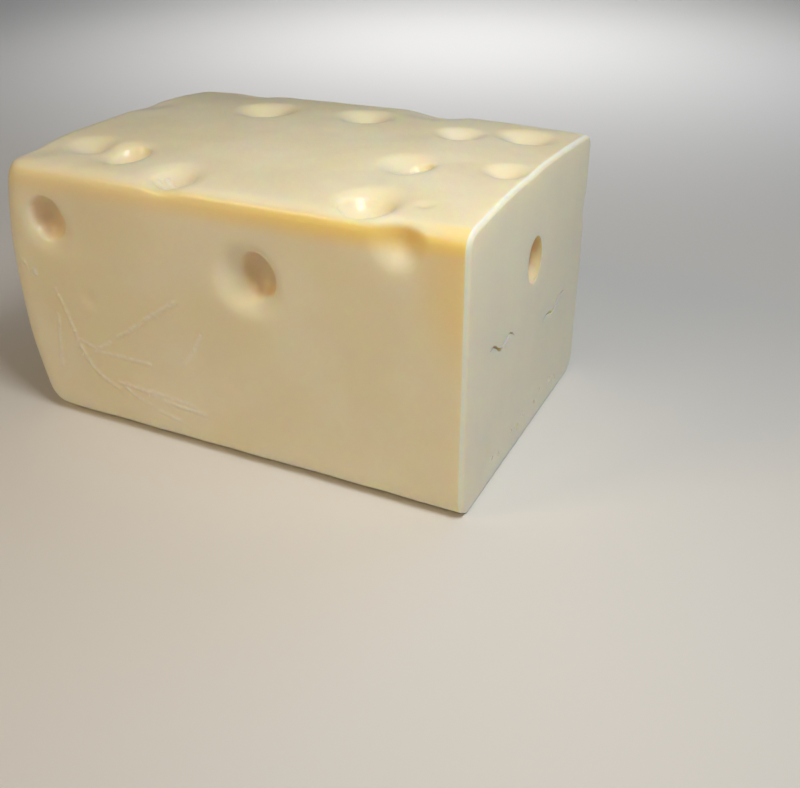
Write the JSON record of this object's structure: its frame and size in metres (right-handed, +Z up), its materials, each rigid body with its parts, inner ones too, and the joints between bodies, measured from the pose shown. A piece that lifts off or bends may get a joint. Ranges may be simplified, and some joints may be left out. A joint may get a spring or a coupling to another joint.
{
  "type": "block of swiss cheese",
  "caption": "Rindless block of Swiss cheese with rounded, slightly swollen sides, soft-rimmed round eyes and one flat knife-cut end.",
  "frame": {"origin": "middle of the bounding box, on the plane of the base that the block rests on", "axes": "+X along the block's length towards the knife-cut end, +Y from the front long side to the back long side, +Z up"},
  "size_m": [0.187, 0.122, 0.1035],
  "materials": {
    "cheese": "pale ivory-yellow waxy cheese paste with a faint satin sheen"
  },
  "bodies": {
    "root": {"swiss_cheese": "cheese"}
  },
  "joints": []
}
